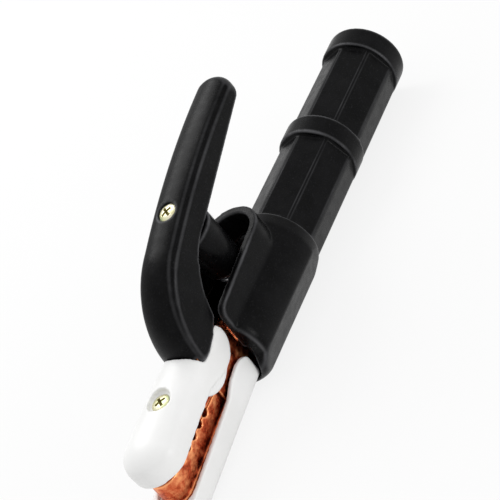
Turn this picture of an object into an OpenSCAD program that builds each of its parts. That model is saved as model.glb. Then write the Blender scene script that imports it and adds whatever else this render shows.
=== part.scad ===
// Electrode holder for stick welding, as an assembly of separate pieces.
// X runs from the cable end to the jaws, Z is up on the lever side, millimetres.
// The origin is the middle of the cable mouth in the rear face of the grip.

/* [Grip] */
// Diameter of the end collar and the middle ring
ring_d = 34; // [32:0.5:38]
// Length of the end collar
collar_len = 11; // [8:0.5:14]
// Length of the rear gripping section
rear_section = 43.7; // [38:0.1:50]
// Length of the middle ring
ring_len = 10; // [7:0.5:13]
// Length of the front gripping section
front_section = 46.2; // [40:0.1:52]
// Diameter of the cable mouth
mouth_d = 17; // [12:0.5:19]
// How far the gripping sections sit below the rings
grip_drop = 0.85; // [0.5:0.05:1.2]

/* [Guard] */
// Radial step from the rings to the guard barrel
guard_step = 1.7; // [1:0.1:3]
// Length of the guard
guard_len = 57.2; // [55:0.1:58]
// Outer width of the spring cup
cup_w = 26.4; // [26:0.1:29]
// Wall of the spring cup
cup_wall = 3.4; // [2.4:0.1:3.4]
// Height of the cup rim above the grip axis, at its rear
rim_z = 26.8; // [25:0.1:28]
// Fall of the cup rim towards the jaws, degrees
rim_fall = 5.2; // [4:0.1:8]

/* [Hinge] */
// Pivot ahead of the end of the grip
pivot_reach = 67.6; // [66:0.1:69]
// Pivot height above the grip axis
pivot_z = 13; // [12:0.1:14]
// Pivot pin diameter
pin_d = 6; // [5:0.5:6.5]
// Radial running clearance of the pin in its bush
pin_clear = 0.04; // [0.02:0.01:0.08]
// Lever travel, degrees
travel = 15; // [8:1:15]

/* [Jaws] */
// Width of both jaw faces
jaw_w = 12.6; // [11.5:0.1:13]
// Foot flange of the fixed jaw, on each side
foot = 0.9; // [0.6:0.1:1.2]
// Height of the fixed jaw's face above the grip axis
jaw_z = 2.2; // [1.8:0.1:2.6]
// Reach of the jaws ahead of the pivot
jaw_reach = 55; // [48:0.5:60]
// Depth of the fixed jaw
jaw_depth = 9; // [8:0.1:10]
// Radius of the electrode grooves
groove_r = 1.65; // [1:0.05:2]
// Spacing of the electrode grooves
groove_pitch = 5.3; // [4.5:0.1:6]
// Number of electrode grooves
groove_count = 5; // [3:1:5]
// Gap between the closed jaws
jaw_gap = 0.2; // [0.1:0.05:0.4]

/* [Insulators] */
// Width of the upper insulator
upper_w = 23.2; // [22:0.1:25]
// Top of the upper insulator at the lever, above the grip axis
upper_top = 21.4; // [20.5:0.1:22]
// Crown radius of the upper insulator
upper_crown = 14; // [13:0.5:16]
// Width of the lower insulator
lower_w = 21.2; // [20.4:0.1:21.6]
// Top of the lower insulator beside the hinge, above the grip axis
hump_z = 1.2; // [0.9:0.1:1.5]
// Fall of its long edges towards the nose, degrees
lower_fall = 6.4; // [5.5:0.1:7]
// Rounding of its long lower edges
edge_r = 6; // [4:0.5:6]

/* [Lever] */
// Slope of the lever where the arm meets the bend, degrees
lever_slope = 18; // [17:0.5:19]
// Bow radius of the lever arm
arm_r = 330; // [280:5:400]
// Bend radius of the lever
bend_r = 35.8; // [33:0.1:38]
// Length of the lever arm behind the bend
lever_len = 81.5; // [74:0.5:88]
// Width of the lever arm
lever_w = 16.6; // [15:0.1:17]
// Widening of the lever down to the jaws, degrees
flare = 2; // [1.5:0.1:2.4]
// Crown radius of the lever top
crown_r = 18; // [16:0.5:24]
// Chamfer of the long lever edges
lever_edge = 1.8; // [1:0.1:2.4]
// Tilt of the spring boss, degrees
boss_tilt = 10; // [8:0.5:12]

/* [Spring] */
// Wire diameter
wire_d = 1.6; // [1.2:0.1:1.8]
// Mean coil diameter
coil_d = 11; // [10:0.1:11.2]
// Number of curls
curls = 8; // [6:1:9]

/* [Cable socket] */
// Bore for the bare cable end
cable_bore_d = 11.2; // [8:0.1:12]
// Length of the cable bore
cable_bore_len = 44; // [30:1:46]

/* [Hidden] */
$fn = 96;
// Face gap between pieces of one assembly
fit = 0.1;
// Length of a cut that runs right through
span = 60;
// How far the bend stands over the arm where they blend, and how far the arm is set back for it
blend = 0.06;
set_back = 1.5;
// Screws: head and shank radius, and lengths
head_r = 3.8;
cross_arm = 2.3;
cross_half = 0.6;
shank_r = 2;
grip_shank_r = 2.5;
grip_screw_len = 12;
guard_screw_len = 16;
lower_screw_len = 13;
upper_screw_len = 12;
lever_screw_len = 8.4;
// Grub screws: radius, and places of the two on the cable
cable_screw_r = 4;
lock_screw_r = 3;
cable_screw_places = [10, 26];
lock_screw_place = 10;

ring_r = ring_d / 2;
section_r = ring_r - grip_drop - 0.05;
section_flat = section_r * cos(20);
ring_x = collar_len + rear_section;
front_x = ring_x + ring_len;
grip_x = front_x + front_section;
grip_bore_r = ring_r - 4.8;
spigot_r = ring_r - 1.8;
spigot_len = 10;
socket_r = grip_bore_r - 0.3;
socket_x = collar_len + 29;
socket_end = grip_x + 1.6;
tail_r = 7.5;
tail_len = 21;

guard_r = ring_r + guard_step;
guard_bore_r = spigot_r + fit;
guard_x = grip_x + fit;
belly_cut = 0.5;
guard_end = guard_x + guard_len - fit;
guard_toe = guard_end + 4.2;
mouth_gap = 1.5;
guard_rim = 8;
cup_r = cup_w / 2;
cup_x = grip_x + 18.4;
channel_r = cup_r - cup_wall;

px = grip_x + pivot_reach;
pz = pivot_z;
lug_r = 9.2;
lug_in = 5;
lug_out = 7.4;
hub_r = 8.2;
hub_w = 8;
bush_r = pin_d / 2 + 1.5;
cavity_r = lug_r + 0.7;
cavity_w = 2 * lug_out + 0.8;
ear_in = lug_out + 0.5;
ear_out = lug_out + 2.5;
ear_r = 9.2;

jaw_x = px + 11.5;
jaw_end = px + jaw_reach;
jaw_r = jaw_w / 2;
foot_r = jaw_r + foot;
foot_x = px + 9;
foot_z = -4.3;
pocket_gap = 1.2;
groove_back = 20.5;
groove_x = px + groove_back;
upper_jaw_top = 11;
upper_jaw_end = jaw_end - 2.3;
nose_r = upper_w / 2;
nose_x = jaw_end - 9;
upper_back = 10.15;
upper_rear = px + upper_back;
upper_fall = 4.35;
upper_screw_x = 18;
web_r = 12;
recess_r = 5;
recess_h = 2.4;
recess_cut = 10;
shoulder_r = 9;
shoulder_drop = 0.02;
lower_nose_r = lower_w / 2;
lower_nose_x = jaw_end - 4.2;
lower_tilt = 4.5;
lower_floor = -14;
lower_rear = px - 10.4;
lower_rear_r = 7;
lower_plan_r = 3.5;
lower_screw_x = px + 27;
ramp_x = px + 11.2;
ramp_z = hump_z - 3.7;

bend_x = px + 10.33 - bend_r;
bend_z = pz + 4.2;
// Where the arm's top meets the bend
elbow = [bend_x + bend_r * sin(lever_slope), bend_z + bend_r * cos(lever_slope)];
lever_half = lever_w / 2;
lever_corner = 4;
lever_front = bend_x + bend_r - 0.05;
lever_low = pz + 2.2;
lever_screw_back = 16.1;
under_rear = elbow + [-115.6, 17.4];
under_front = elbow + [-18.1, -8.6];
hook = [bend_x - 15.3, bend_z - 4.7];
hook_r = bend_r - 4.2;
arm_skin = 3.2;
arm_h = 6.6;
boss_x = elbow[0] - 20.9;
boss_z = elbow[1] - 13.3;
boss_root_r = 10.2;
boss_end_r = 8;
boss_top = 7.6;
boss_peg_r = 5.5;
boss_bore_r = coil_d / 2 + wire_d / 2 + 0.3;
boss_roof = boss_top - 4;
shank_top = 5;
shank_low = -jaw_depth;
seat_h = 2.3;
seat_top = (shank_top + seat_h - boss_z) / cos(boss_tilt);
// Gap left between the boss and its seat with the lever pressed, which sets the boss's foot
boss_gap = 1.732;
boss_lean = travel - boss_tilt;
boss_end = (shank_top + seat_h + boss_gap - pz - (boss_x - px) * sin(travel)
    - (boss_z - pz) * cos(travel) + boss_end_r * sin(boss_lean)) / cos(boss_lean);

black = [0.10, 0.10, 0.11];
white = [0.94, 0.94, 0.91];
copper = [0.72, 0.34, 0.20];
brass = [0.78, 0.62, 0.30];
zinc = [0.86, 0.80, 0.58];
steel = [0.66, 0.68, 0.70];
fibre = [0.42, 0.22, 0.16];

// Round bar along X
module bar_x(x, len, r) {
    translate([x, 0, 0]) rotate([0, 90, 0]) cylinder(h = len, r = r);
}

// Round bar across the tool
module bar_y(x, z, w, r) {
    translate([x, 0, z]) rotate([90, 0, 0]) cylinder(h = w, r = r, center = true);
}

// Outline in X and Z made a solid of width w across the tool
module slab(w) {
    rotate([90, 0, 0]) linear_extrude(w, center = true) children();
}

// Outline in Y and Z run along X
module run_x(x, len) {
    translate([x, 0, 0]) rotate([90, 0, 90]) linear_extrude(len) children();
}

// Two equal plates, one on each side of the tool
module plates(inner, outer) {
    for (side = [0, 1]) mirror([0, side, 0])
        translate([0, outer, 0]) rotate([90, 0, 0]) linear_extrude(outer - inner) children();
}

// Frame at the end of the lever arm: X along the arm, Z out of its top, bend axis at the origin
module at_bend() {
    translate([bend_x, 0, bend_z]) rotate([0, lever_slope, 0]) children();
}

// Frame on the arm's top, back steps along the bowed arm behind the bend
module at_arm(back) {
    at_bend() translate([-set_back, 0, bend_r - arm_r - blend]) rotate([0, -back / arm_r * 180 / PI, 0])
        translate([0, 0, arm_r]) children();
}

// Section swept along the bowed arm, radius against width
module sweep_arm(len) {
    turn = len / arm_r * 180 / PI;
    at_bend() translate([-set_back, 0, bend_r - arm_r - blend]) rotate([-90, -90, 0])
        rotate([0, 0, -turn]) rotate_extrude(angle = turn + 0.2) translate([arm_r, 0]) children();
}

// Section swept round the bend, radius against width
module sweep_bend(angle) {
    at_bend() rotate([-90, -90, 0]) rotate([0, 0, -8])
        rotate_extrude(angle = angle + 8) translate([bend_r, 0]) children();
}

// Frame of the spring boss, Z up along its axis
module at_boss() {
    translate([boss_x, 0, boss_z]) rotate([0, boss_tilt, 0]) children();
}

// Countersunk screw with raised head and cross recess, head face at Z = 0, shank downwards
module cross_screw(shank, len) {
    dome = 0.8;
    ball_r = (head_r * head_r + dome * dome) / (2 * dome);
    head_h = head_r - shank;
    difference() {
        union() {
            intersection() {
                translate([0, 0, dome - ball_r]) sphere(r = ball_r);
                cylinder(h = 2, r = head_r);
            }
            translate([0, 0, -head_h]) cylinder(h = head_h, r1 = shank, r2 = head_r);
            translate([0, 0, -len]) cylinder(h = len - head_h, r = shank);
        }
        for (turn = [45, 135]) rotate([0, 0, turn])
            translate([-cross_arm, -cross_half, -1.2]) cube([2 * cross_arm, 2 * cross_half, 4]);
    }
}

// Hole for such a screw, open above its head
module screw_hole(shank, len) {
    gap = 0.15;
    head_h = head_r - shank;
    translate([0, 0, -head_h]) cylinder(h = head_h, r1 = shank + gap, r2 = head_r + gap);
    cylinder(h = 5, r = head_r + gap);
    translate([0, 0, -len - 0.3]) cylinder(h = len, r = shank + gap);
}

// Grub screw with hexagon socket, outer end at Z = 0
module grub_screw(r, len) {
    difference() {
        translate([0, 0, -len]) cylinder(h = len, r = r);
        translate([0, 0, -r]) cylinder(h = r + 1, r = r * 0.55, $fn = 6);
    }
}

module grip_section(x, len) {
    translate([x, 0, -grip_drop]) rotate([0, 90, 0]) intersection() {
        cylinder(h = len, r = section_r);
        cylinder(h = len, r = section_flat / cos(22.5), $fn = 8);
    }
}

module grip_screw_place() {
    translate([socket_end - tail_len - 3.5, 0, -section_flat - grip_drop]) rotate([180, 0, 0]) children();
}

module guard_screw_place() {
    translate([grip_x + 30, 0, belly_cut + 1.1 - guard_r]) rotate([180, 0, 0]) children();
}

module grip_sleeve() {
    color(black) difference() {
        union() {
            rotate([0, 90, 0]) rotate_extrude() {
                translate([0, 1.5]) square([ring_r, collar_len - 1.5]);
                square([ring_r - 1.5, 2]);
                translate([ring_r - 1.5, 1.5]) circle(r = 1.5);
            }
            grip_section(collar_len - 1, rear_section + 2);
            bar_x(ring_x, ring_len, ring_r);
            grip_section(front_x - 1, front_section + 1);
            bar_x(grip_x - 1, spigot_len + 1, spigot_r);
        }
        bar_x(-1, collar_len + 30, mouth_d / 2);
        bar_x(socket_x - 6, grip_x, grip_bore_r);
        grip_screw_place() screw_hole(grip_shank_r, grip_screw_len);
    }
}

module cup_outline(r) {
    translate([cup_x, 0]) circle(r = r);
    translate([cup_x, -r]) square([guard_end - cup_x + 5, 2 * r]);
}

module guard_side() {
    lip = 4.6;
    difference() {
        polygon([
            [guard_x - 5, -40], [guard_toe, -40], [guard_toe, -12], [guard_end, -2], [guard_end, 50],
            [guard_x - 5, 50]
        ]);
        translate([guard_end - lip, rim_z - 9]) difference() {
            square([20, 40]);
            circle(r = lip);
            translate([-1, lip - 0.01]) square([1.01, 40]);
        }
    }
}

// Barrel with a cone at the grip, a rounded front rim and a long flat on each side
module guard_barrel() {
    cone = 6;
    len = guard_toe - guard_x;
    flat = guard_r * cos(22.5);
    intersection() {
        translate([guard_x, 0, 0]) rotate([0, 90, 0]) rotate_extrude() {
            polygon([
                [0, 0], [ring_r + 0.25, 0], [guard_r, cone], [guard_r, len - guard_rim],
                [guard_r - guard_rim, len - guard_rim], [guard_r - guard_rim, len], [0, len]
            ]);
            translate([guard_r - guard_rim, len - guard_rim]) circle(r = guard_rim);
        }
        intersection_for(side = [0, 1]) mirror([0, side, 0]) rotate([-28.5, 0, 0])
            translate([guard_x - 5, -60, -60]) cube([guard_len + 20, 60 + flat, 120]);
        translate([guard_x - 5, -60, belly_cut - guard_r]) cube([guard_len + 20, 120, 120]);
    }
}

// Round-cornered channel in Y and Z, open upwards
module channel(half, low, corner) {
    translate([-half, low + corner]) square([2 * half, 60]);
    translate([corner - half, low]) square([2 * (half - corner), 60]);
    for (side = [-1, 1]) translate([side * (half - corner), low + corner]) circle(r = corner);
}

module guard_shield() {
    color(black) difference() {
        intersection() {
            union() {
                guard_barrel();
                difference() {
                    linear_extrude(50) cup_outline(cup_r);
                    translate([cup_x - cup_r, 0, rim_z]) rotate([0, rim_fall, 0])
                        translate([-20, -30, 0]) cube([120, 60, 60]);
                }
            }
            slab(60) guard_side();
        }
        difference() {
            bar_x(guard_x - 1, guard_len - 4, guard_bore_r);
            translate([grip_x + 30, 0, -30]) cylinder(h = 30 + shank_low - fit, r = 5.5);
        }
        linear_extrude(60) cup_outline(channel_r);
        run_x(guard_end - 8, 30) channel(channel_r, lower_floor - 0.6, edge_r + 0.6);
        run_x(lower_rear - mouth_gap, 30) intersection() {
            channel(lower_nose_r + mouth_gap, lower_floor - 0.35, edge_r + mouth_gap);
            translate([-30, -30]) square([60, 30 + hump_z + 0.5]);
        }
        guard_screw_place() screw_hole(shank_r, guard_screw_len);
    }
}

module lug_outline() {
    translate([px, pz]) circle(r = lug_r);
    polygon([
        [px - 12.5, shank_low], [px - 12.5, pz - 3], [px - 8, pz + 5],
        [px + 9, pz - 3], [px + 10, 2], [px + 10, shank_low]
    ]);
}

module grooves(z) {
    for (i = [0 : groove_count - 1]) bar_y(groove_x + i * groove_pitch, z, jaw_w + 10, groove_r);
}

module lower_jaw_outline() {
    polygon([
        [socket_end + fit, shank_low], [socket_end + fit, shank_top], [px - 18, shank_top],
        [px - 12.5, 3], [px - 6, jaw_z], [jaw_end, jaw_z], [jaw_end, shank_low + 2],
        [jaw_end - 2, shank_low]
    ]);
}

// Plan of a jaw: straight sides and a half-round nose
module jaw_plan(end, gap) {
    r = jaw_r + gap;
    translate([socket_end, -r]) square([end - jaw_r - socket_end, 2 * r]);
    translate([end - jaw_r, 0]) circle(r = r);
}

// Side view of the fixed jaw's foot: the whole shank, and a flange that falls towards the nose
module foot_side() {
    polygon([
        [socket_end, -30], [socket_end, 30], [foot_x, 30], [foot_x, foot_z],
        [jaw_end + 5, foot_z - (jaw_end + 5 - foot_x) * tan(lower_tilt)], [jaw_end + 5, -30]
    ]);
}

module lower_jaw() {
    color(copper) difference() {
        union() {
            bar_x(socket_end - tail_len, tail_len + 1, tail_r);
            intersection() {
                slab(60) lower_jaw_outline();
                union() {
                    translate([0, 0, -30]) linear_extrude(60) jaw_plan(jaw_end - foot, 0);
                    intersection() {
                        translate([0, 0, -30]) linear_extrude(60) jaw_plan(jaw_end - foot, foot);
                        slab(60) foot_side();
                    }
                }
            }
            plates(lug_in, lug_out) lug_outline();
        }
        bar_y(px, pz, 40, pin_d / 2 + 0.01);
        grooves(jaw_z + jaw_gap / 2);
        guard_screw_place() screw_hole(shank_r, guard_screw_len);
        lower_insulator_screw_place() screw_hole(shank_r, lower_screw_len);
        translate([socket_end - lock_screw_place, 0, -tail_r - 0.2])
            cylinder(h = 1.2, r = lock_screw_r + 0.2);
    }
}

module cable_socket() {
    color(brass) difference() {
        bar_x(socket_x, socket_end - socket_x, socket_r);
        bar_x(socket_x - 1, cable_bore_len + 1, cable_bore_d / 2);
        bar_x(socket_end - tail_len, tail_len + 1, tail_r + 0.02);
        for (x = cable_screw_places) translate([socket_x + x, 0, 0])
            cylinder(h = 20, r = cable_screw_r + 0.02);
        translate([socket_end - lock_screw_place, 0, -20]) cylinder(h = 20, r = lock_screw_r + 0.02);
        grip_screw_place() screw_hole(grip_shank_r, grip_screw_len);
    }
}

module cable_screws() {
    color(steel) for (x = cable_screw_places) translate([socket_x + x, 0, socket_r - 0.6])
        grub_screw(cable_screw_r, socket_r - 0.6 - cable_bore_d / 2 - 0.5);
}

module socket_lock_screw() {
    color(steel) translate([socket_end - lock_screw_place, 0, 0.6 - socket_r]) rotate([180, 0, 0])
        grub_screw(lock_screw_r, socket_r - 0.6 - tail_r + 0.7);
}

module grip_screw() {
    color(zinc) grip_screw_place() cross_screw(grip_shank_r, grip_screw_len);
}

module guard_screw() {
    color(zinc) guard_screw_place() cross_screw(shank_r, guard_screw_len);
}

module spring_seat() {
    color(fibre) intersection() {
        at_boss() {
            translate([0, 0, seat_top - 8]) cylinder(h = 8, r = foot_r - 0.4);
            translate([0, 0, seat_top - 1]) cylinder(h = 7, r = coil_d / 2 - wire_d / 2 - 0.5);
        }
        translate([px - 80, -20, shank_top + 0.02]) cube([80, 40, 40]);
    }
}

// Spring wire: rings of points along a helix, the first and last ring carried on straight
function coil_point(t, low, rise) = let (a = 360 * t)
    [coil_d / 2 * cos(a), coil_d / 2 * sin(a), low + rise * t];
function coil_way(t, rise) = let (a = 360 * t, v = [-PI * coil_d * sin(a), PI * coil_d * cos(a), rise])
    v / norm(v);
function coil_ring(c, way) = let (
        out = cross(way, [0, 0, 1]) / norm(cross(way, [0, 0, 1])),
        up = cross(out, way))
    [for (k = [0 : 5]) c + wire_d / 2 * (out * cos(60 * k) + up * sin(60 * k))];

spring_low = seat_top + wire_d * 0.7;
spring_rise = (boss_roof - wire_d * 0.7 - spring_low) / curls;
coil_steps = curls * 8;
coil_gap = spring_rise - wire_d;
echo(least_gap_between_curls = coil_gap);
assert(coil_gap > 0.4, "the curls of the spring are too close");

coil_centres = [for (i = [0 : coil_steps]) coil_point(i / 8, spring_low, spring_rise)];
coil_ways = [for (i = [0 : coil_steps]) coil_way(i / 8, spring_rise)];
first_ring = coil_ring(coil_centres[0] - [0, wire_d, 0], [0, 1, 0]);
last_ring = coil_ring(coil_centres[coil_steps] + [0, wire_d, 0], [0, 1, 0]);
coil_points = concat(first_ring,
    [for (i = [0 : coil_steps]) each coil_ring(coil_centres[i], coil_ways[i])], last_ring);
coil_rings = coil_steps + 3;
coil_faces = concat(
    [for (i = [0 : coil_rings - 2], k = [0 : 5]) [i * 6 + k, i * 6 + (k + 1) % 6, i * 6 + 6 + k]],
    [for (i = [0 : coil_rings - 2], k = [0 : 5])
        [i * 6 + (k + 1) % 6, i * 6 + 6 + (k + 1) % 6, i * 6 + 6 + k]],
    [for (k = [1 : 4]) [0, k + 1, k]],
    [for (k = [1 : 4]) let (b = coil_rings * 6 - 6) [b, b + k, b + k + 1]]);

module return_spring() {
    color(steel) at_boss()
        polyhedron(points = coil_points, faces = coil_faces, convexity = 10);
}

module pivot_pin() {
    color(steel) bar_y(px, pz, 2 * lug_out, pin_d / 2);
}

module hinge_washers() {
    color(steel) difference() {
        plates(hub_w / 2 + 0.04, lug_in - 0.04) translate([px, pz]) circle(r = hub_r - 1.4);
        bar_y(px, pz, 40, pin_d / 2 + 0.05);
    }
}

module lower_insulator_screw_place() {
    along = (lower_screw_x - px + 5.5) / cos(lower_tilt);
    translate([px - 5.5, 0, lower_floor]) rotate([0, lower_tilt, 0])
        translate([along, 0, 0.9]) rotate([180, 0, 0]) children();
}

// Half of the lower insulator's section, Y against height over its floor
module lower_section(tall) {
    difference() {
        square([lower_nose_r, tall]);
        translate([lower_nose_r - edge_r, -1]) difference() {
            square([edge_r + 1, edge_r + 1]);
            translate([0, edge_r + 1]) circle(r = edge_r);
        }
    }
}

// Side view of its top: level beside the hinge, a ramp, then long edges falling to the nose
module lower_side() {
    long = 70;
    difference() {
        polygon([
            [lower_rear, -40], [lower_rear, hump_z], [px - 1, hump_z], [px + 4.5, hump_z - 0.9],
            [ramp_x, ramp_z], [ramp_x + long, ramp_z - long * tan(lower_fall)], [ramp_x + long, -40]
        ]);
        translate([lower_rear - 1, hump_z - lower_rear_r]) difference() {
            square([lower_rear_r + 1, lower_rear_r + 1]);
            translate([lower_rear_r + 1, 0]) circle(r = lower_rear_r);
        }
    }
}

// Plan with rounded rear corners
module lower_plan() {
    half = lower_nose_r + 1;
    inner = lower_nose_r - lower_plan_r + 0.3;
    translate([lower_rear + lower_plan_r, -half]) square([90, 2 * half]);
    translate([lower_rear, -inner]) square([20, 2 * inner]);
    for (side = [-1, 1]) translate([lower_rear + lower_plan_r, side * inner]) circle(r = lower_plan_r);
}

module lower_insulator() {
    tall = hump_z - lower_floor + 6;
    nose_along = (lower_nose_x - px + 5.5) / cos(lower_tilt);
    color(white) difference() {
        intersection() {
            translate([px - 5.5, 0, lower_floor]) rotate([0, lower_tilt, 0]) {
                run_x(-15, nose_along + 15) {
                    lower_section(tall);
                    mirror([1, 0]) lower_section(tall);
                }
                translate([nose_along, 0, 0]) rotate_extrude() lower_section(tall);
            }
            slab(60) lower_side();
            translate([0, 0, -40]) linear_extrude(60) lower_plan();
        }
        translate([0, 0, shank_low - fit]) linear_extrude(40) jaw_plan(jaw_end - foot, foot + pocket_gap);
        lower_insulator_screw_place() screw_hole(shank_r, lower_screw_len);
    }
}

module lower_insulator_screw() {
    color(zinc) lower_insulator_screw_place() cross_screw(shank_r, lower_screw_len);
}

module upper_bar(gap) {
    intersection() {
        slab(span) polygon([
            [jaw_x - 4 * gap, jaw_z + jaw_gap - 9 * gap], [jaw_end + gap, jaw_z + jaw_gap - 9 * gap],
            [jaw_end + gap, 7], [jaw_end - 5, upper_jaw_top + gap], [jaw_x - 4 * gap, upper_jaw_top + gap]
        ]);
        translate([0, 0, -span / 2]) linear_extrude(span) jaw_plan(upper_jaw_end, gap);
    }
}

// Side view of the copper arm: a line at a depth below the lever's top, along arm and bend
function arm_line(depth) = let (tip = lever_slope - (lever_len - 16) / arm_r * 180 / PI,
        arm_c = [bend_x, bend_z] + (bend_r - arm_r) * [sin(lever_slope), cos(lever_slope)])
    concat([for (i = [0 : 6]) let (a = tip + (lever_slope - tip) * i / 7)
            arm_c + (arm_r - depth) * [sin(a), cos(a)]],
        [for (i = [0 : 20]) let (a = lever_slope + (90 - lever_slope) * i / 20)
            [bend_x, bend_z] + (bend_r - depth) * [sin(a), cos(a)]]);
function turned_round(line) = [for (i = [len(line) - 1 : -1 : 0]) line[i]];

// Copper arm of the upper jaw, thinned to its end, with hub and neck
module jaw_arm(gap) {
    wide = hub_w + 2 * gap;
    difference() {
        slab(wide) polygon(concat(arm_line(arm_skin - gap), turned_round(arm_line(arm_skin + arm_h + gap))));
        slab(60) polygon([
            under_rear + [0, 2 - gap], under_front + [0, 2 - gap], under_front - [0, 20], under_rear - [0, 80]
        ]);
    }
    bar_y(px, pz, wide, hub_r + gap);
    slab(wide) polygon([
        [px, pz - 7.8 - gap], [jaw_x + 1, jaw_z + 0.3 - gap], [jaw_x + 1, upper_jaw_top + gap],
        [px + 7, pz + 3 + gap], [px, pz + 7]
    ]);
}

module upper_jaw() {
    color(copper) difference() {
        union() {
            jaw_arm(0);
            upper_bar(0);
        }
        bar_y(px, pz, span, bush_r + 0.01);
        grooves(jaw_z + jaw_gap / 2);
        upper_insulator_screw_place() screw_hole(shank_r, upper_screw_len);
        lever_screw_place() screw_hole(shank_r, lever_screw_len);
    }
}

module pivot_bush() {
    color(brass) difference() {
        bar_y(px, pz, hub_w, bush_r);
        bar_y(px, pz, 40, pin_d / 2 + pin_clear);
    }
}

// Frame on the upper insulator's top line, X towards the nose
module at_upper() {
    translate([upper_rear, 0, upper_top]) rotate([0, upper_fall, 0]) children();
}

module upper_insulator_screw_place() {
    at_upper() translate([upper_screw_x, 0, -recess_h]) children();
}

// Crown of the upper insulator, Y against depth below the top line
module upper_top_side() {
    translate([0, -upper_crown]) circle(r = upper_crown);
    translate([-upper_crown, -40]) square([2 * upper_crown, 40 - upper_crown]);
}

// One flank of it with a rounded shoulder, the flank at Y = 0
module upper_flank() {
    difference() {
        translate([-40, -40]) square(40);
        translate([-shoulder_r, -shoulder_drop - shoulder_r]) difference() {
            square([shoulder_r + 1, shoulder_r + shoulder_drop + 1]);
            circle(r = shoulder_r);
        }
    }
}

// Whole form of the upper insulator: crowned bar that widens to a round nose
module upper_form() {
    nose_along = (nose_x - upper_rear) / cos(upper_fall);
    taper = atan((nose_r - ear_out) / nose_along);
    at_upper() {
        intersection() {
            run_x(-25, nose_along + 25) upper_top_side();
            intersection_for(side = [0, 1]) mirror([0, side, 0])
                translate([nose_along, nose_r - 0.05, 0]) rotate([0, 0, taper]) run_x(-80, 90) upper_flank();
        }
        translate([nose_along, 0, 0]) rotate_extrude() intersection() {
            translate([0, -40]) square([nose_r, 40]);
            upper_top_side();
            translate([nose_r, 0]) upper_flank();
        }
    }
}

// Side view of the upper insulator ahead of the lever, with the edge along the jaws
module upper_side() {
    polygon([
        [px + 4, 40], [px + 4, lever_low], [upper_rear, lever_low], [upper_rear, 7.2],
        [px + 14.5, 7.4], [px + 17.5, 7], [px + 31, 6.2], [px + 46.2, 4.8], [px + 52, 5],
        [px + 60, 4.2], [px + 90, 4.2], [px + 90, 40]
    ]);
}

// Side view of what the lever's rounded front corner leaves free
module lever_corner_side(drop) {
    translate([lever_front - lever_corner, lever_low + lever_corner]) difference() {
        translate([0, -lever_corner - 1]) square([lever_corner + 1, lever_corner + 1]);
        circle(r = lever_corner + drop);
    }
}

// Side view of all below the lever's lower edge, up round its front corner
module cover_low_edge(drop) {
    polygon([
        [px - 30, -20], [px + 30, -20], [px + 30, lever_low - drop], [px + 2.5, lever_low - drop],
        [px - 4, pz + 4 - drop], [px - 9.8, pz + 7.2 - drop], [px - 30, pz + 7.2 - drop]
    ]);
    lever_corner_side(drop);
}

module upper_insulator() {
    color(white) difference() {
        intersection() {
            upper_form();
            union() {
                difference() {
                    slab(60) upper_side();
                    translate([bend_x + bend_r - crown_r, 0, lever_low - 1])
                        cylinder(h = 40, r = crown_r + 0.15);
                }
                plates(ear_in, nose_r) intersection() {
                    union() {
                        translate([px, pz + 0.5]) circle(r = ear_r);
                        polygon([
                            [px, pz + 0.5 - ear_r], [px + 3.4, pz - 8.3], [px + 13, pz - 6],
                            [px + 13, pz + 3], [px, pz + 3]
                        ]);
                    }
                    cover_low_edge(0.15);
                }
                slab(60) lever_corner_side(0.15);
                plates(ear_in, ear_in + 1.2) intersection() {
                    translate([px + 7.5, 13.9]) circle(r = web_r);
                    translate([px - 1, 0]) square([30, 12]);
                }
            }
        }
        upper_bar(fit);
        jaw_arm(fit);
        bar_y(px, pz, cavity_w, cavity_r);
        upper_insulator_screw_place() cylinder(h = recess_cut, r = recess_r);
        upper_insulator_screw_place() screw_hole(shank_r, upper_screw_len);
    }
}

module upper_insulator_screw() {
    color(zinc) upper_insulator_screw_place() cross_screw(shank_r, upper_screw_len);
}

module lever_screw_place() {
    at_arm(lever_screw_back) translate([0, 0, -1.2]) children();
}

// Crowned top of the lever, depth below the top against width
module lever_crown() {
    translate([-crown_r, 0]) intersection() {
        circle(r = crown_r);
        translate([-8, -crown_r]) square(2 * crown_r);
    }
}

// One flank of the lever with its chamfered edge
module lever_flank() {
    depth = sqrt(pow(crown_r, 2) - pow(lever_half - lever_edge, 2)) - crown_r;
    polygon([
        [3 - bend_r, -60], [3 - bend_r, lever_half], [depth - 1.2 * lever_edge, lever_half],
        [depth + 6 * lever_edge, lever_half - 6 * lever_edge], [depth + 6 * lever_edge, -60]
    ]);
}

module lever_section() {
    intersection() {
        lever_crown();
        lever_flank();
        mirror([0, 1]) lever_flank();
    }
}

// Bend with both flanks leaning outwards towards the jaws
module lever_bend() {
    mean = 33;
    intersection() {
        sweep_bend(82) lever_crown();
        intersection_for(side = [0, 1]) mirror([0, side, 0]) at_bend() translate([0, lever_half, bend_r])
            rotate(a = flare, v = [sin(mean), 0, cos(mean)]) translate([0, -lever_half, -bend_r])
            rotate([-90, -90, 0]) rotate([0, 0, -12]) rotate_extrude(angle = 104) translate([bend_r, 0])
            lever_flank();
    }
}

// Bowed arm with a thumb-shaped tip, round in plan and over its top
module lever_arm() {
    plan_r = lever_half + 0.3;
    crest = 5;
    top = 0.3;
    difference() {
        sweep_arm(lever_len + 2) lever_section();
        at_arm(lever_len) difference() {
            translate([-10, -30, -60]) cube([10 + plan_r, 60, 90]);
            translate([plan_r, 0, 0]) rotate_extrude() difference() {
                translate([0, -70]) square([plan_r, 70 + top]);
                translate([plan_r - crest, top - crest]) difference() {
                    square(crest + 1);
                    circle(r = crest);
                }
            }
        }
    }
}

module lever_body() {
    lever_arm();
    lever_bend();
}

// Space below the lever: straight under the arm, hollow at the bend
module lever_underside(gap) {
    slab(60) polygon([
        under_rear - [0, gap], under_front - [0, gap], under_front - [0, 60], under_rear - [0, 80]
    ]);
    bar_y(hook[0], hook[1], 60, hook_r - gap);
}

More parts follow.
